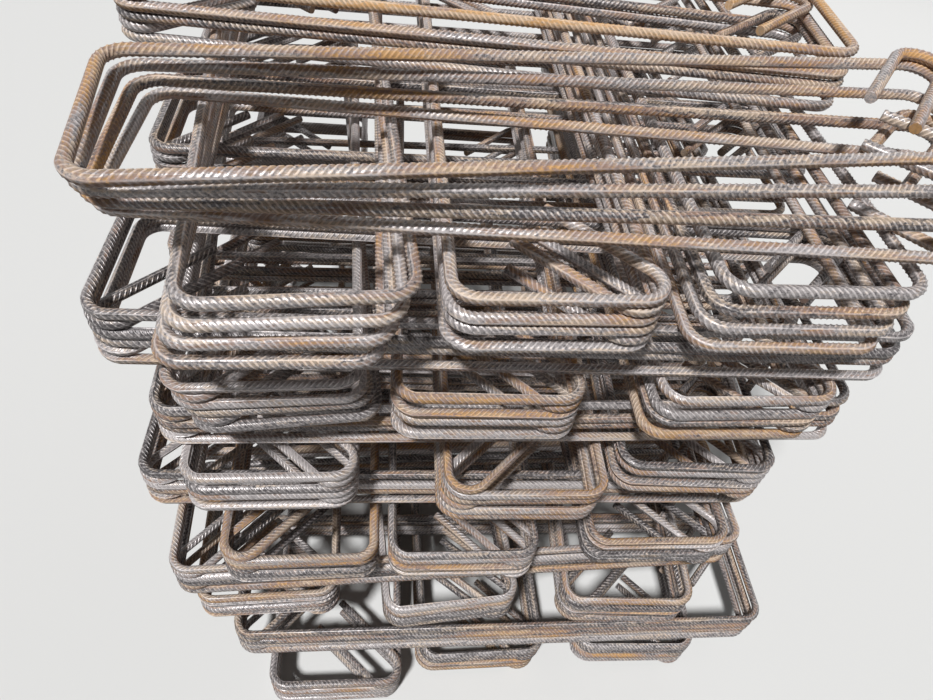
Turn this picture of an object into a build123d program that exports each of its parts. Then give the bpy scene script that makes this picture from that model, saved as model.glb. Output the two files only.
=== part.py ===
from build123d import *
from math import ceil, cos, hypot, pi, radians, sin, sqrt, tan
import os

# A bundle of reinforcement stirrups, stacked crib fashion: flat groups of stirrups lie side by
# side in tiers, and each tier is turned a quarter against the one below.
# X runs to the right, Y to the back, Z up from the floor. All lengths are millimetres.

# Bar
bar_d = 8.0  # nominal diameter
bar_sides = 6  # sides of the drawn section, which has the area of the round bar
bend_r = 16.0  # radius of every bend, to the centre of the bar
bend_chord = 45.0  # a bend is drawn in chords of this many degrees

# One stirrup, outside sizes
stirrup_length = 550.0
stirrup_width = 135.0
hook_turn = 135.0  # both ends of the bar are hooked round the corner bar
hook_tail = 80.0  # straight end of a hook

# Bundle
tier_count = 12
group_size = 4  # stirrups in a group
column_gap = 31.0  # between two lengthwise groups of a tier
row_gap = 36.0  # between two crosswise groups of a tier
seat_gap = 0.4  # between a bar and the bar that it rests on
lean = 4.0  # how much further back a tier sits than the one below it

# How far the stirrups lie out of line
slide_along = 9.0
slide_across = 3.0
skew = 0.6  # degrees

columns = {"lengthwise": ("left", "centre", "right"), "crosswise": ("front", "middle", "back")}

# Groups that lie off their place: to the right, to the back, turned, and the turn from the
# lowest stirrup to the highest (degrees)
shifts = {
    "tier_12_crosswise_front": (26, -27, 1, 9),
    "tier_12_crosswise_middle": (-14, 6, -4.5, 1),
    "tier_12_crosswise_back": (-10, 14, -2, -1),
    "tier_11_lengthwise_left": (2, -22, 2, 4),
    "tier_11_lengthwise_centre": (8, -10, 0.5, 0),
    "tier_11_lengthwise_right": (-4, -14, -1, 1),
    "tier_10_crosswise_front": (-5, -20, -2, 0),
    "tier_09_lengthwise_left": (-20, 12, 3, -3),
    "tier_09_lengthwise_centre": (-14, 8, -1, 0),
    "tier_09_lengthwise_right": (-8, -8, 0, 1),
    "tier_08_crosswise_front": (5, 0, 0, 1),
    "tier_08_crosswise_back": (-8, 10, 1, 0),
    "tier_07_lengthwise_left": (-16, 6, 0, 0),
    "tier_07_lengthwise_centre": (26, 9, -1.5, 1),
    "tier_07_lengthwise_right": (10, 9, -2.5, 0),
    "tier_06_crosswise_front": (-28, 10, -1, 0),
    "tier_06_crosswise_back": (10, 5, -1, 1),
    "tier_05_lengthwise_left": (2, -2, 0.5, 0),
    "tier_05_lengthwise_centre": (-18, 12, -1, 0),
    "tier_05_lengthwise_right": (-4, 6, 0, 0),
    "tier_04_crosswise_front": (-18, -5, 2, 0),
    "tier_04_crosswise_middle": (12, 5, 1, 0),
    "tier_03_lengthwise_left": (-40, 18, 2, 0),
    "tier_03_lengthwise_centre": (-46, 12, 4, 0),
    "tier_03_lengthwise_right": (4, 4, -2.5, 0),
    "tier_02_crosswise_front": (35, -28, 0, 0),
    "tier_02_crosswise_back": (-10, 5, 1, -1),
    "tier_01_lengthwise_left": (34, -22, 0, 0),
    "tier_01_lengthwise_centre": (10, 0, 0, 1),
    "tier_01_lengthwise_right": (35, 8, -2, 0),
}

# Which corner a stirrup's hooks are at: its yaw, and whether it lies on its other side
hook_corners = {
    "lengthwise": {
        "right front": (90, False),
        "left back": (270, False),
        "left front": (90, True),
        "right back": (270, True),
    },
    "crosswise": {
        "left front": (0, False),
        "right back": (180, False),
        "left back": (0, True),
        "right front": (180, True),
    },
}
usual_hooks = {"lengthwise": ("right front", "left back"), "crosswise": ("left front", "right back")}
other_hooks = {
    "tier_12_crosswise_front": ("right front", "right back"),
    "tier_11_lengthwise_left": ("left back", "right back"),
    "tier_11_lengthwise_centre": ("left back", "right front"),
    "tier_11_lengthwise_right": ("left back", "right back"),
    "tier_09_lengthwise_left": ("left front", "right back"),
    "tier_09_lengthwise_centre": ("left back", "right front"),
    "tier_09_lengthwise_right": ("left back", "right front"),
    "tier_07_lengthwise_left": ("left back", "right front"),
    "tier_07_lengthwise_centre": ("right back", "left front"),
    "tier_06_crosswise_middle": ("left back", "right front"),
    "tier_05_lengthwise_left": ("right back", "left front"),
    "tier_03_lengthwise_right": ("left front", "right back"),
    "tier_02_crosswise_back": ("left back", "right front"),
    "tier_01_lengthwise_left": ("left back", "right front"),
}

# Derived sizes
section_inradius = bar_d / 2 * sqrt(pi / (bar_sides * tan(pi / bar_sides)))
section_radius = section_inradius / cos(pi / bar_sides)
bar_height = 2 * section_inradius
bar_width = 2 * section_radius
ring_rise = bar_height + seat_gap  # one end of the bar passes over the other at the hooks
line_length = stirrup_length - bar_width
line_width = stirrup_width - bar_width
pitches = {"lengthwise": stirrup_width + column_gap, "crosswise": stirrup_width + row_gap}


def stirrup_line():
    """Centre line of one stirrup, centred on the origin, as a list of points.

    The bar comes in along its first tail, turns round the hook corner, goes once round the
    rectangle and turns round the same corner again, one bar thickness higher.
    """
    long_run = line_length - 2 * bend_r
    short_run = line_width - 2 * bend_r
    legs = [
        (hook_tail, hook_turn),
        (long_run, 90),
        (short_run, 90),
        (long_run, 90),
        (short_run, hook_turn),
        (hook_tail, 0),
    ]
    inward = radians(180 - hook_turn)
    start_x = bend_r * (1 - sin(inward)) - line_length / 2 + hook_tail * cos(inward)
    start_y = bend_r * (1 + cos(inward)) - line_width / 2 + hook_tail * sin(inward)
    x, y, heading = start_x, start_y, -hook_turn
    plan = [(x, y)]
    for run, turn in legs:
        x += run * cos(radians(heading))
        y += run * sin(radians(heading))
        plan.append((x, y))
        chords = ceil(turn / bend_chord)
        for _ in range(chords):
            step = turn / chords
            chord = 2 * bend_r * sin(radians(step / 2))
            x += chord * cos(radians(heading + step / 2))
            y += chord * sin(radians(heading + step / 2))
            heading += step
            plan.append((x, y))

    # The hooks stay level, and the loop between them climbs evenly
    hook_points = 1 + ceil(hook_turn / bend_chord)
    loop = plan[hook_points:-hook_points]
    lengths = [hypot(b[0] - a[0], b[1] - a[1]) for a, b in zip(loop, loop[1:])]
    points = [Vector(px, py, -ring_rise / 2) for px, py in plan[:hook_points]]
    travelled = 0.0
    for (px, py), length in zip(loop, lengths + [0.0]):
        points.append(Vector(px, py, ring_rise * (travelled / sum(lengths) - 0.5)))
        travelled += length
    points += [Vector(px, py, ring_rise / 2) for px, py in plan[-hook_points:]]
    return points


def stirrup_solid(points):
    """The bar's section carried along the centre line, mitred where two chords meet."""
    start = Plane(origin=points[0], x_dir=(0, 0, 1), z_dir=points[1] - points[0])
    section = start * RegularPolygon(section_radius, bar_sides, rotation=180 / bar_sides)
    return sweep(section, Polyline(*points), transition=Transition.RIGHT)


def placed(point, spot):
    """A point of the centre line where the stirrup lies."""
    x, y, yaw, flip, z = spot
    px, py, pz = (point.X, -point.Y, -point.Z) if flip else (point.X, point.Y, point.Z)
    c, s = cos(radians(yaw)), sin(radians(yaw))
    return (x + c * px - s * py, y + s * px + c * py, z + pz)


def location(spot):
    x, y, yaw, flip, z = spot
    return Pos(x, y, z) * Rot(0, 0, yaw) * Rot(180 if flip else 0, 0, 0)


def nearest(p, a, b):
    """Place along the run a-b, from 0 to 1, that is nearest to p in plan."""
    dx, dy = b[0] - a[0], b[1] - a[1]
    t = ((p[0] - a[0]) * dx + (p[1] - a[1]) * dy) / (dx * dx + dy * dy)
    return min(max(t, 0.0), 1.0)


def crossing(a, b, c, d):
    """Places along the runs a-b and c-d where they cross in plan, or None."""
    ux, uy, vx, vy = b[0] - a[0], b[1] - a[1], d[0] - c[0], d[1] - c[1]
    area = ux * vy - uy * vx
    if abs(area) < 1e-9:
        return None
    wx, wy = c[0] - a[0], c[1] - a[1]
    s, t = (wx * vy - wy * vx) / area, (wx * uy - wy * ux) / area
    return (s, t) if 0 <= s <= 1 and 0 <= t <= 1 else None


def at(a, b, t):
    return tuple(p + t * (q - p) for p, q in zip(a, b))


def apart(a, b, c, d, reach):
    """Whether the runs a-b and c-d can't come within reach of each other in plan."""
    return any(
        max(a[axis], b[axis]) + reach < min(c[axis], d[axis])
        or max(c[axis], d[axis]) + reach < min(a[axis], b[axis])
        for axis in (0, 1)
    )


def resting_height(distance):
    """Height between the centres of two touching bars that lie this far apart in plan.

    It is the outline of a section twice as large, whose sides each lean one step further over.
    """
    leans = [2 * pi * k / bar_sides for k in range(bar_sides) if 4 * k < bar_sides]
    return min((bar_height - distance * sin(side)) / cos(side) for side in leans)


def drop_height(line, below):
    """How much higher a stirrup has to lie to rest on the stirrups below it.

    Bars meet where their runs cross in plan, or pass closer than one bar's width.
    """
    height = None
    for other in below:
        for a, b in zip(line, line[1:]):
            for c, d in zip(other, other[1:]):
                if apart(a, b, c, d, bar_width):
                    continue
                pairs = [(0, nearest(a, c, d)), (1, nearest(b, c, d))]
                pairs += [(nearest(c, a, b), 0), (nearest(d, a, b), 1)]
                pairs.append(crossing(a, b, c, d) or pairs[0])
                for s, t in pairs:
                    p, q = at(a, b, s), at(c, d, t)
                    distance = hypot(p[0] - q[0], p[1] - q[1])
                    if distance < bar_width:
                        needed = q[2] - p[2] + resting_height(distance) + seat_gap
                        height = needed if height is None else max(height, needed)
    return height


def sway(*where):
    """A number from -1 to 1 that differs from stirrup to stirrup without a pattern."""
    return sin(sum(k * n for k, n in zip((12.9, 78.2, 37.7, 5.3), where)) + 0.7)


def group_spots(tier, column, direction, name):
    """Plan position, yaw and side up of each stirrup of a group, the lowest first."""
    right, back, turn, fan = shifts.get(name, (0, 0, 0, 0))
    hooks = other_hooks.get(name, usual_hooks[direction])
    across = (column - 1) * pitches[direction]
    spots = []
    for k in range(group_size):
        along = slide_along * sway(tier, column, k, 1)
        side = slide_across * sway(tier, column, k, 2)
        corner_yaw, flip = hook_corners[direction][hooks[k % 2]]
        yaw = corner_yaw + turn + fan * (k / (group_size - 1) - 0.5) + skew * sway(tier, column, k, 3)
        x, y = (across + side, along) if direction == "lengthwise" else (along, across + side)
        spots.append((x + right, y + back + lean * (tier - 1), yaw, flip))
    return spots


def settled_spots(line):
    """Node names with the spots of their stirrups, each lowered onto what lies below it."""
    floor = section_inradius + ring_rise / 2
    spots, beneath, everything = {}, [], []
    for tier in range(1, tier_count + 1):
        direction = "crosswise" if tier % 2 == 0 else "lengthwise"
        laid = []
        for column, side in enumerate(columns[direction]):
            name = f"tier_{tier:02d}_{direction}_{side}"
            spots[name] = []
            for plan_spot in group_spots(tier, column, direction, name):
                flat = [placed(p, (*plan_spot, 0.0)) for p in line]
                height = drop_height(flat, beneath + laid)
                spots[name].append((*plan_spot, floor if height is None else height))
                laid.append([placed(p, spots[name][-1]) for p in line])
        beneath = laid
        everything += [point for laid_line in laid for point in laid_line]
    return spots, everything


def build():
    """Node names with their solids, the bundle's bounding box centred on the origin in plan."""
    line = stirrup_line()
    solid = stirrup_solid(line)
    spots, points = settled_spots(line)
    middle_x = (min(p[0] for p in points) + max(p[0] for p in points)) / 2
    middle_y = (min(p[1] for p in points) + max(p[1] for p in points)) / 2
    centring = Pos(-middle_x, -middle_y, 0)
    return {
        name: Compound(children=[centring * location(spot) * solid for spot in group])
        for name, group in spots.items()
    }


os.makedirs("parts", exist_ok=True)
for node_name, node in build().items():
    export_step(node, f"parts/{node_name}.step")
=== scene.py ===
import math

import bpy
import numpy as np
from mathutils import Matrix, Vector


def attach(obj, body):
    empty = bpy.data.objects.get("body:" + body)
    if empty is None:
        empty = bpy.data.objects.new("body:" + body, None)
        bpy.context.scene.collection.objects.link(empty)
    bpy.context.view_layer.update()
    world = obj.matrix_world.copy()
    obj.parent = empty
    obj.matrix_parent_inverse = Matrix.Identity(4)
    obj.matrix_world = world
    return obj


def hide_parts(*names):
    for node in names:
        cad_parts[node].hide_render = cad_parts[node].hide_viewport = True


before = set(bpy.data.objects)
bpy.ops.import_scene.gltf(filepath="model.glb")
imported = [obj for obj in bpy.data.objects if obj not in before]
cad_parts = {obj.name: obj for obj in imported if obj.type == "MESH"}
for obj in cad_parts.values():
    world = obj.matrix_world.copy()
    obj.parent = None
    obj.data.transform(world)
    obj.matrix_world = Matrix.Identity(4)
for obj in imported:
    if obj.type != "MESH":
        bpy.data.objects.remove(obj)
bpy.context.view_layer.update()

# A crib-stacked bundle of stirrups: every bar is rebuilt, round and ribbed, where the frame has it.
# Lengths are metres, and angles are degrees where they are given.

bar = {
    "coreRadius": 0.00370,
    "ribHeight": 0.0006,
    "ribPitch": 0.0039,
    "ribFlank": 0.27,  # share of the pitch from a rib's foot to its crest
    "ribSlope": 0.85,  # how far a rib runs along the bar for each metre round it
    "seamHeight": 0.0004,  # the two ribs that run along the bar
    "columns": (0, 14, 52, 90, 128, 166, 180, 194, 232, 270, 308, 346),  # degrees round the bar
    "taper": 0.012,  # towards a cut end, over this length, the ribs lose their slope
    "seamTaper": 4,  # the seams reach their full height in a quarter of that
    "crescentPower": 0.6,  # how bluntly a rib runs out at the seams
    "plainEnd": 0.0015,  # no rib is nearer to the far cut end
    "endPattern": 0.25,  # where round the bar's pattern a cut end takes its look
}

stirrup = {
    "length": 0.550,
    "width": 0.135,
    "barWidth": 0.0087977,
    "rise": 0.0080180,  # one end of the bar passes over the other
    "bendRadius": 0.016,
    "hookTurn": 135.0,
    "hookTail": 0.080,
    "plainStep": 15.0,  # degrees of a bend between two rows of a plain bar
}


def barLine(size):
    # Straight legs and round bends in order: each piece has its start, length, heading and turn per metre
    lineLength = size["length"] - size["barWidth"]
    lineWidth = size["width"] - size["barWidth"]
    radius, turn, tail = size["bendRadius"], size["hookTurn"], size["hookTail"]
    inward = math.radians(180 - turn)
    x = radius * (1 - math.sin(inward)) - lineLength / 2 + tail * math.cos(inward)
    y = radius * (1 + math.cos(inward)) - lineWidth / 2 + tail * math.sin(inward)
    longRun, shortRun = lineLength - 2 * radius, lineWidth - 2 * radius
    legs = [(tail, turn), (longRun, 90), (shortRun, 90), (longRun, 90), (shortRun, turn), (tail, 0)]
    heading, travelled = math.radians(-turn), 0.0
    starts, xs, ys, headings, turnRates = [], [], [], [], []
    for run, angle in legs:
        starts.append(travelled)
        xs.append(x)
        ys.append(y)
        headings.append(heading)
        turnRates.append(0.0)
        x += run * math.cos(heading)
        y += run * math.sin(heading)
        travelled += run
        if angle:
            starts.append(travelled)
            xs.append(x)
            ys.append(y)
            headings.append(heading)
            turnRates.append(1 / radius)
            nextHeading = heading + math.radians(angle)
            x += radius * (math.sin(nextHeading) - math.sin(heading))
            y += radius * (math.cos(heading) - math.cos(nextHeading))
            heading = nextHeading
            travelled += radius * math.radians(angle)
    hook = tail + radius * math.radians(turn)
    return {
        "starts": np.array(starts),
        "x": np.array(xs),
        "y": np.array(ys),
        "heading": np.array(headings),
        "turnRate": np.array(turnRates),
        "total": travelled,
        "climb": ([0, hook, travelled - hook, travelled], [-size["rise"] / 2] * 2 + [size["rise"] / 2] * 2),
    }


def alongLine(line, s):
    # On a leg: start + distance * direction. On a bend: start + radius * (change of sine, change of cosine)
    k = np.clip(np.searchsorted(line["starts"], s, side="right") - 1, 0, len(line["starts"]) - 1)
    rate, first = line["turnRate"][k], line["heading"][k]
    run = s - line["starts"][k]
    heading = first + rate * run
    safeRate = np.where(rate == 0, 1.0, rate)
    x = np.where(rate == 0, run * np.cos(first), (np.sin(heading) - np.sin(first)) / safeRate)
    y = np.where(rate == 0, run * np.sin(first), (np.cos(first) - np.cos(heading)) / safeRate)
    z = np.interp(s, *line["climb"])
    place = np.stack([line["x"][k] + x, line["y"][k] + y, z], -1)
    side = np.stack([-np.sin(heading), np.cos(heading), np.zeros_like(heading)], -1)
    return place, side


def ribSkew(angle):
    # Offset along the bar: rises evenly from one seam to the other and falls evenly back
    return bar["ribSlope"] * bar["coreRadius"] * (math.pi / 2 - np.abs(angle - math.pi))


def ribbedRows(total):
    # Three rows to a rib pitch: foot, crest, foot. A row at the far end closes the bar
    count = int(total / bar["ribPitch"])
    rows = (np.arange(count)[:, None] + np.arange(3) * bar["ribFlank"]) * bar["ribPitch"]
    lift = np.tile([0.0, 1.0, 0.0], (count, 1))
    rows, lift = np.append(rows.ravel(), total), np.append(lift.ravel(), 0.0)
    keep = (rows < total - bar["plainEnd"]) | (rows == total)
    return rows[keep], lift[keep]


def plainRows(line):
    # The ends of the legs, and even steps round the bends
    rows = []
    ends = np.append(line["starts"][1:], line["total"])
    for start, end, rate in zip(line["starts"], ends, line["turnRate"]):
        steps = max(1, round(math.degrees((end - start) * rate) / stirrup["plainStep"]))
        rows.append(np.linspace(start, end, steps, endpoint=False))
    rows = np.append(np.concatenate(rows), line["total"])
    return rows, np.zeros_like(rows)


def barSurface(line, ribbed, seamAngle):
    # Place + radius * (cosine * side + sine * up); the radius is the core, a rib that fades
    # to the seams as a crescent, and the seam itself
    rows, lift = ribbedRows(line["total"]) if ribbed else plainRows(line)
    angle = np.radians(bar["columns"])
    fade = np.clip(np.minimum(rows, line["total"] - rows) / bar["taper"], 0, 1)
    s = rows[:, None] + ribSkew(angle) * fade[:, None]
    place, side = alongLine(line, s)
    crescent = np.abs(np.sin(angle)) ** bar["crescentPower"]
    seam = np.isclose(np.abs(np.cos(angle)), 1).astype(float)
    radius = bar["coreRadius"] + bar["ribHeight"] * lift[:, None] * crescent
    radius = radius + bar["seamHeight"] * seam * np.minimum(fade * bar["seamTaper"], 1)[:, None]
    turned = (angle + seamAngle)[:, None]
    up = np.array([0.0, 0.0, 1.0])
    outward = np.cos(turned) * side + np.sin(turned) * up
    points = place + radius[..., None] * outward
    ends = np.stack([place[0].mean(0), place[-1].mean(0)])
    return points, s, angle / (2 * math.pi), ends


def closedTube(points, s, v, ends):
    # Quads between neighbouring rows and columns, and a fan on each cut end
    rowCount, columnCount = points.shape[:2]
    index = np.arange(rowCount * columnCount).reshape(rowCount, columnCount)
    right = np.roll(index, -1, 1)
    quads = np.stack([index[:-1], right[:-1], right[1:], index[1:]], -1).reshape(-1, 4)
    nextV = np.append(v[1:], 1.0)
    rightS = np.roll(s, -1, 1)
    quadU = np.stack([s[:-1], rightS[:-1], rightS[1:], s[1:]], -1).reshape(-1, 4)
    quadV = np.tile(np.stack([v, nextV, nextV, v], -1), (rowCount - 1, 1))
    first = np.stack([np.full(columnCount, index.size), right[0], index[0]], -1)
    last = np.stack([np.full(columnCount, index.size + 1), index[-1], right[-1]], -1)
    fans = np.concatenate([first, last])
    fanU = np.repeat([[s[0].min()] * 3, [s[-1].max()] * 3], columnCount, axis=0)
    uv = np.concatenate([
        np.stack([quadU, quadV], -1).reshape(-1, 2),
        np.stack([fanU, np.full_like(fanU, bar["endPattern"])], -1).reshape(-1, 2),
    ])
    return np.concatenate([points.reshape(-1, 3), ends]), quads, fans, uv


def trianglesOf(node):
    # Every triangle's three corners, in the order the frame keeps them
    mesh = node.data
    mesh.calc_loop_triangles()
    points = np.empty(len(mesh.vertices) * 3)
    mesh.vertices.foreach_get("co", points)
    corners = np.empty(len(mesh.loop_triangles) * 3, dtype=np.int32)
    mesh.loop_triangles.foreach_get("vertices", corners)
    return points.reshape(-1, 3)[corners]


yawSearch = {
    "reach": 8.0,  # degrees to either side of square
    "tries": 161,  # yaws in a round
    "rounds": 3,
    "finer": 40,  # how much less far the next round reaches
}


def leastWidthYaw(points, lengthwise):
    # The yaw at which the stirrup is narrowest across, first roughly, then finely
    yaw, reach = (90.0 if lengthwise else 0.0), yawSearch["reach"]
    for _ in range(yawSearch["rounds"]):
        tries = np.radians(yaw + np.linspace(-reach, reach, yawSearch["tries"]))
        across = np.outer(-np.sin(tries), points[:, 0]) + np.outer(np.cos(tries), points[:, 1])
        yaw = math.degrees(tries[np.argmin(across.max(1) - across.min(1))])
        reach /= yawSearch["finer"]
    return yaw


def turnedOver(points, yaw, flip):
    # A half turn about the long axis if it lies on its other side, then the yaw
    if flip:
        points = points * np.array([1.0, -1.0, -1.0])
    c, s = math.cos(math.radians(yaw)), math.sin(math.radians(yaw))
    return points @ np.array([[c, s, 0], [-s, c, 0], [0, 0, 1.0]])


def stirrupSpots(node, lengthwise, line, count):
    # Yaw from the narrowest way across, centre from the turned box. Of the four ways that a stirrup
    # can lie, the one whose cut ends are nearest to the frame's points
    tails, _ = alongLine(line, np.array([0.0, line["total"]]))
    spots = []
    for points in trianglesOf(node).reshape(count, -1, 3):
        yaw = leastWidthYaw(points, lengthwise)
        level = turnedOver(points, -yaw, False)
        centre = turnedOver((level.min(0) + level.max(0))[None] / 2, yaw, False)[0]
        ways = [(yaw + half, flip) for half in (0, 180) for flip in (False, True)]

        def miss(way):
            ends = turnedOver(tails, *way) + centre
            return np.linalg.norm(points[:, None] - ends[None], axis=2).min(0).sum()

        spots.append((centre, *min(ways, key=miss)))
    return spots


def newObject(name, data):
    made = bpy.data.objects.new(name, data)
    bpy.context.scene.collection.objects.link(made)
    return made


def meshPiece(name, tubes, values):
    # One mesh from several tubes; the values are one number per tube, kept at its points
    mesh = bpy.data.meshes.new(name)
    tubePoints, tubeQuads, tubeFans, tubeUvs = zip(*tubes)
    offsets = np.cumsum([0] + [len(points) for points in tubePoints])
    points = np.concatenate(tubePoints)
    corners = np.concatenate([np.concatenate([(quads + shift).ravel(), (fans + shift).ravel()])
                              for quads, fans, shift in zip(tubeQuads, tubeFans, offsets)])
    sizes = np.concatenate([np.repeat([4, 3], [len(quads), len(fans)])
                            for quads, fans in zip(tubeQuads, tubeFans)])
    mesh.vertices.add(len(points))
    mesh.vertices.foreach_set("co", points.astype(np.float32).ravel())
    mesh.loops.add(len(corners))
    mesh.loops.foreach_set("vertex_index", corners.astype(np.int32))
    mesh.polygons.add(len(sizes))
    mesh.polygons.foreach_set("loop_start", np.append(0, np.cumsum(sizes)[:-1]).astype(np.int32))
    mesh.update(calc_edges=True)
    mesh.polygons.foreach_set("use_smooth", sizes == 4)
    mesh.uv_layers.new(name="alongBar").data.foreach_set(
        "uv", np.concatenate(tubeUvs).astype(np.float32).ravel())
    for label, numbers in values.items():
        layer = mesh.attributes.new(label, "FLOAT", "POINT")
        layer.data.foreach_set("value", np.repeat(numbers, np.diff(offsets)).astype(np.float32))
    return newObject(name, mesh)


class Wire:
    # A socket that takes part in sums: each operator adds a Math node
    def __init__(self, tree, socket):
        self.tree, self.socket = tree, socket

    def node(self, kind, settings=None, output=0, **inputs):
        # Inputs go by their name, or by i and their number
        made = self.tree.nodes.new(kind)
        for label, setting in (settings or {}).items():
            setattr(made, label, setting)
        for label, value in inputs.items():
            key = int(label[1:]) if label[1:].isdigit() else label
            if isinstance(value, Wire):
                self.tree.links.new(value.socket, made.inputs[key])
            else:
                made.inputs[key].default_value = value
        return Wire(self.tree, made.outputs[output])

    def output(self, label):
        # Another output of the same node
        return Wire(self.tree, self.socket.node.outputs[label])

    def feed(self, shader, label):
        self.tree.links.new(self.socket, shader.inputs[label])

    def math(self, operation, first, second=None):
        inputs = {"i0": first} if second is None else {"i0": first, "i1": second}
        return self.node("ShaderNodeMath", {"operation": operation}, **inputs)

    def __add__(self, other):
        return self.math("ADD", self, other)

    def __radd__(self, other):
        return self.math("ADD", other, self)

    def __sub__(self, other):
        return self.math("SUBTRACT", self, other)

    def __rsub__(self, other):
        return self.math("SUBTRACT", other, self)

    def __mul__(self, other):
        return self.math("MULTIPLY", self, other)

    def __rmul__(self, other):
        return self.math("MULTIPLY", other, self)

    def __truediv__(self, other):
        return self.math("DIVIDE", self, other)

    def fade(self, low, high):
        # 0 up to low, 1 from high, and a smooth step between
        settings = {"interpolation_type": "SMOOTHSTEP"}
        return self.node("ShaderNodeMapRange", settings, i0=self, i1=low, i2=high, i3=0.0, i4=1.0)

    def mix(self, first, second):
        # The first colour where this is 0, the second where it is 1
        return self.node("ShaderNodeMix", {"data_type": "RGBA"}, 2, i0=self, i6=first, i7=second)


steel = {
    "valleyShade": (0.03, 0.024, 0.023, 1),  # painted shade between the ribs
    "scaleDark": (0.085, 0.076, 0.08, 1),
    "scaleLight": (0.71, 0.655, 0.65, 1),
    "scaleWornHighlight": (0.92, 0.88, 0.86, 1),  # where crests are rubbed, and painted lighter as a highlight
    "rustBrown": (0.42, 0.262, 0.195, 1),
    "rustOrange": (0.76, 0.42, 0.145, 1),
    "rustTan": (0.84, 0.65, 0.48, 1),
    "noise": {  # repeats to a metre, detail, roughness, and a shift that sets it apart
        "patch": (16.0, 4.0, 0.6, 0.0),
        "cloud": (80.0, 3.0, 0.6, 3.1),
        "dusty": (27.2, 5.0, 0.7, 11.3),
        "speck": (420.0, 3.0, 0.65, 7.7),
        "grain": (1470.0, 2.0, 0.5, 1.9),
    },
    "streak": 0.6,  # below 1, patches are drawn out along the bar
    "roundBar": 0.022,  # how much a patch differs from one side of the bar to the other
    "ownPatches": 9.0,  # how much patches differ with a stirrup's tone
    "fades": {  # where each layer starts and where it is full
        "scale": (0.1, 0.8),
        "brown": (0.2, 0.55),
        "orange": (0.55, 0.85),
        "dust": (0.54, 0.72),
        "rubbedAndHighlit": (0.3, 1.1),
        "valleyShade": (0.25, 0.85),
        "ribFoot": (0.0, 0.45),
        "seam": (0.02, 0.08),
    },
    "crestHalf": 0.04,  # half a crest's flat top, as a share of the pitch
    "seamProud": 0.8,  # how far a seam stands out, against a rib
    "cover": {"brown": 0.85, "orange": 0.85, "dust": 0.75, "rubbedAndHighlit": 0.26, "valleyShade": 0.75},  # at most
    "roughness": (0.34, 0.74),  # bare, and under rust or dust
    "metallic": 0.24,
    "metallicLost": 0.22,  # under rust or dust
    "bumpDepth": 0.0006,
}


def newMaterial(name):
    # A material, its shader, and a Wire to start sums from
    material = bpy.data.materials.new(name)
    material.use_nodes = True
    return material, material.node_tree.nodes["Principled BSDF"], Wire(material.node_tree, None)


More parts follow.
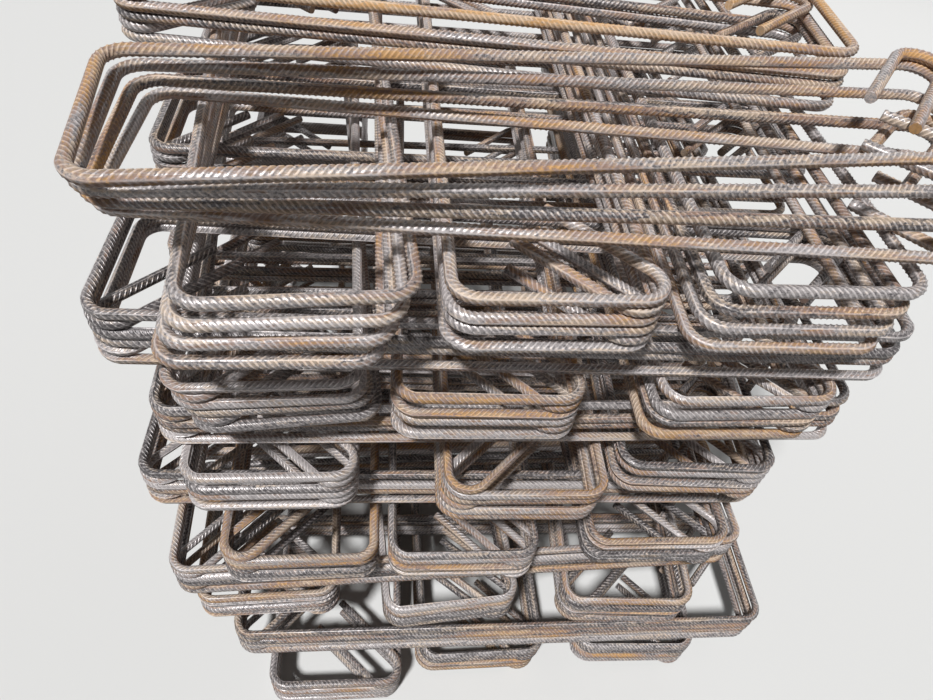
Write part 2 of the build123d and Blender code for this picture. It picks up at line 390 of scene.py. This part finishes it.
def barSteel(name, drawnRibs):
    # Scale, brown rust, orange rust, tan dust, crests rubbed and painted lighter as a highlight, and painted
    # shade between the ribs, each mixed over the last. In a sum, the number beside a pattern is how much it
    # counts. Drawn ribs go into the bump as well
    material, shader, start = newMaterial(name)
    fades, cover = steel["fades"], steel["cover"]
    objectPlace = start.node("ShaderNodeTexCoord", output=3)
    u = start.node("ShaderNodeSeparateXYZ", Vector=start.node("ShaderNodeUVMap", {"uv_map": "alongBar"}))
    v = u.output("Y")
    rustLevel = start.node("ShaderNodeAttribute", {"attribute_name": "rustLevel"}, 2)
    tone = start.node("ShaderNodeAttribute", {"attribute_name": "tone"}, 2)

    # The rib's place: how far along the pitch a point is once the skew is taken off
    angle = v * (2 * math.pi)
    skew = (math.pi / 2 - start.math("ABSOLUTE", angle - math.pi)) * (bar["ribSlope"] * bar["coreRadius"])
    phase = start.math("FRACT", (u - skew) / bar["ribPitch"])
    away = start.math("ABSOLUTE", phase - bar["ribFlank"])
    crest = 1 - away.fade(steel["crestHalf"], bar["ribFlank"])
    sine, cosine = start.math("SINE", angle), start.math("COSINE", angle)
    crescent = start.math("POWER", start.math("ABSOLUTE", sine), bar["crescentPower"])
    seamAway = start.math("ABSOLUTE", start.math("FRACT", v * 2 + 0.5) - 0.5)
    seam = 1 - seamAway.fade(*fades["seam"])
    proud = start.math("MAXIMUM", crest * crescent, seam * steel["seamProud"])

    def noise(label, place):
        scale, detail, rough, shift = steel["noise"][label]
        moved = start.node("ShaderNodeMapping", Vector=place, Location=(shift, -shift, shift * 0.7))
        return start.node("ShaderNodeTexNoise", {"noise_dimensions": "3D"},
                          Vector=moved, Scale=scale, Detail=detail, Roughness=rough)

    # Patches are streaks along one side of a bar and differ from stirrup to stirrup: the place is
    # the way along the bar, shortened, and a small circle round it. Specks lie where the metal is
    across = tone * steel["ownPatches"] + cosine * steel["roundBar"]
    upward = sine * steel["roundBar"]
    alongBar = start.node("ShaderNodeCombineXYZ", X=u * steel["streak"], Y=across, Z=upward)
    patch, cloud, dusty = (noise(label, alongBar) for label in ("patch", "cloud", "dusty"))
    speck, grain = (noise(label, objectPlace) for label in ("speck", "grain"))

    # The proud term makes crests and seams a little lighter: a painted highlight
    bright = speck * 1.4 + cloud * 0.9 + tone * 0.5 + proud * 0.1 - 0.89
    scale = bright.fade(*fades["scale"]).mix(steel["scaleDark"], steel["scaleLight"])
    rustAmount = (patch - 0.5) * 2.4 + (cloud - 0.5) * 1.2 + (speck - 0.5) * 0.8 + rustLevel - proud * 0.08
    brown = rustAmount.fade(*fades["brown"])
    colour = (brown * cover["brown"]).mix(scale, steel["rustBrown"])
    orange = (rustAmount + (speck - 0.5) * 0.7).fade(*fades["orange"])
    colour = (orange * cover["orange"]).mix(colour, steel["rustOrange"])
    dust = (dusty + (speck - 0.5) * 0.5 + rustLevel * 0.2).fade(*fades["dust"]) * cover["dust"]
    colour = dust.mix(colour, steel["rustTan"])
    # Crests and seams lighter: partly rubbed scale, partly a painted highlight
    rubbedAndHighlit = (proud * (speck * 1.1 + cloud * 0.9)).fade(*fades["rubbedAndHighlit"]) * (cover["rubbedAndHighlit"] - orange * 0.14)
    colour = rubbedAndHighlit.mix(colour, steel["scaleWornHighlight"])
    # Painted shade in the valleys between the ribs and beside the seams, made patchy by noise
    between = (1 - crest.fade(*fades["ribFoot"])) * (1 - seam)
    valleyShadePatches = (speck * 0.6 + cloud * 0.6 + dusty * 0.4 - 0.3).fade(*fades["valleyShade"])
    valleyShade = between * valleyShadePatches * cover["valleyShade"]
    valleyShade.mix(colour, steel["valleyShade"]).feed(shader, "Base Color")

    low, high = steel["roughness"]
    rough = start.math("MAXIMUM", brown, dust)
    (low + (high - low) * rough + (grain - 0.5) * 0.2).feed(shader, "Roughness")
    (steel["metallic"] - steel["metallicLost"] * rough).feed(shader, "Metallic")
    height = speck * 0.18 + grain * 0.08
    if drawnRibs:
        height = height + proud
    bump = start.node("ShaderNodeBump", Strength=1.0, Distance=steel["bumpDepth"], Height=height)
    bump.feed(shader, "Normal")
    return material


bundle = {
    "ribbedTiers": (11, 12),  # their ribs are in the mesh, the others' in the material
    "rustByTier": {12: 0.42, 11: 0.3, 10: 0.28, 9: 0.25},
    "rustElsewhere": 0.28,
    "rustSpread": 0.24,
    "rustier": 0.3,
    "rustyStirrups": {  # much rustier ones: group, how many up from the lowest
        "tier_12_crosswise_middle": 3,
        "tier_09_lengthwise_right": 0,
        "tier_07_lengthwise_right": 0,
        "tier_05_lengthwise_left": 3,
    },
    "inGroup": 4,
    "seed": 8,
}


def buildBundle():
    # One piece for each group; every stirrup in it has a seam angle, a rust level and a tone of its own
    line = barLine(stirrup)
    steelByRibs = {False: barSteel("drawnRibSteel", True), True: barSteel("ribbedSteel", False)}
    random = np.random.default_rng(bundle["seed"])
    triangles = 0
    for name in sorted(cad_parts):
        tier = int(name.split("_")[1])
        ribbed = tier in bundle["ribbedTiers"]
        spots = stirrupSpots(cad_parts[name], "lengthwise" in name, line, bundle["inGroup"])
        tubes, rust, tone = [], [], []
        for k, (centre, yaw, flip) in enumerate(spots):
            points, s, v, ends = barSurface(line, ribbed, random.uniform(0, math.pi))
            points = turnedOver(points, yaw, flip) + centre
            ends = turnedOver(ends, yaw, flip) + centre
            tubes.append(closedTube(points, s, v, ends))
            level = bundle["rustByTier"].get(tier, bundle["rustElsewhere"])
            level += bundle["rustSpread"] * random.uniform(-1, 1)
            if bundle["rustyStirrups"].get(name) == k:
                level += bundle["rustier"]
            rust.append(level)
            tone.append(random.uniform(0, 1))
        piece = meshPiece("bars_" + name, tubes, {"rustLevel": rust, "tone": tone})
        piece.data.materials.append(steelByRibs[ribbed])
        triangles += sum(2 * len(quads) + len(fans) for _, quads, fans, _ in tubes)
        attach(piece, "root")
        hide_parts(name)
    print("stirrups", len(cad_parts) * bundle["inGroup"], "triangles", triangles)


studio = {
    "floorSize": 9.0,
    "floorColour": (0.78, 0.78, 0.77, 1),
    "floorBounce": (0.06, 0.06, 0.06, 1),  # what the floor throws back up
    "floorRoughness": 0.9,
    "worldLight": 0.04,  # what the world adds to the light
    "worldSeen": 0.7,  # how bright it looks
    "aim": (0, 0, 0.35),  # where the lamps point
    "lamps": {
        "key": {"kind": "SUN", "energy": 3.3, "angle": math.radians(6), "from": (-0.6, -0.85, 2.2)},
        "fill": {"kind": "AREA", "energy": 5.0, "size": 2.4, "from": (1.4, 1.3, 1.6)},
    },
}


def seenDirectly(start):
    # 1 for what the camera sees, also in a reflection or through glass, and 0 for light that bounces
    cameraRay = start.node("ShaderNodeLightPath")
    seen = start.math("MAXIMUM", cameraRay, cameraRay.output("Is Glossy Ray"))
    return start.math("MAXIMUM", seen, cameraRay.output("Is Transmission Ray"))


def buildStudio():
    half = studio["floorSize"] / 2
    mesh = bpy.data.meshes.new("floor")
    corners = [(-half, -half, 0), (half, -half, 0), (half, half, 0), (-half, half, 0)]
    mesh.from_pydata(corners, [], [(0, 1, 2, 3)])
    floor = newObject("floor", mesh)
    material, shader, start = newMaterial("paleFloor")
    seenDirectly(start).mix(studio["floorBounce"], studio["floorColour"]).feed(shader, "Base Color")
    shader.inputs["Roughness"].default_value = studio["floorRoughness"]
    floor.data.materials.append(material)

    world = bpy.data.worlds.new("studio")
    bpy.context.scene.world = world
    world.use_nodes = True
    tree = world.node_tree
    tree.nodes.clear()
    seen = seenDirectly(Wire(tree, None))
    strength = studio["worldLight"] + seen * (studio["worldSeen"] - studio["worldLight"])
    light = strength.node("ShaderNodeBackground", Color=(1, 1, 1, 1), Strength=strength)
    light.feed(tree.nodes.new("ShaderNodeOutputWorld"), "Surface")

    for label, settings in studio["lamps"].items():
        lamp = bpy.data.lights.new(label, settings["kind"])
        for setting in ("energy", "angle", "size"):
            if setting in settings:
                setattr(lamp, setting, settings[setting])
        holder = newObject(label, lamp)
        holder.location = settings["from"]
        aim = Vector(studio["aim"]) - holder.location
        holder.rotation_euler = aim.to_track_quat("-Z", "Y").to_euler()
    print("floor and lights")


view = {
    "place": (-0.1094, -0.5374, 0.813),
    "azimuth": 10.9,  # degrees to the right of straight back
    "down": 47.6,
    "roll": -8.7,
    "focalPixels": 706.0,
    "imageWidth": 933,
    "sensorWidth": 36,  # millimetres, as Blender has it
    "nearest": 0.01,
}


def buildCamera():
    # Looking direction from azimuth and dip; right and down are turned about it by the roll
    azimuth, dip, roll = (math.radians(view[k]) for k in ("azimuth", "down", "roll"))
    ahead = Vector((math.sin(azimuth) * math.cos(dip), math.cos(azimuth) * math.cos(dip), -math.sin(dip)))
    level = Vector((math.cos(azimuth), -math.sin(azimuth), 0))
    below = ahead.cross(level)
    right = math.cos(roll) * level + math.sin(roll) * below
    down = math.cos(roll) * below - math.sin(roll) * level
    camera = bpy.data.cameras.new("camera")
    camera.sensor_width = view["sensorWidth"]
    camera.lens = view["focalPixels"] / view["imageWidth"] * camera.sensor_width
    camera.clip_start = view["nearest"]
    holder = newObject("camera", camera)
    turn = Matrix((right, -down, -ahead)).transposed()
    holder.matrix_world = Matrix.Translation(view["place"]) @ turn.to_4x4()
    bpy.context.scene.camera = holder
    print("camera")


buildCamera()
buildBundle()
buildStudio()
bpy.context.scene.view_settings.view_transform = "Standard"
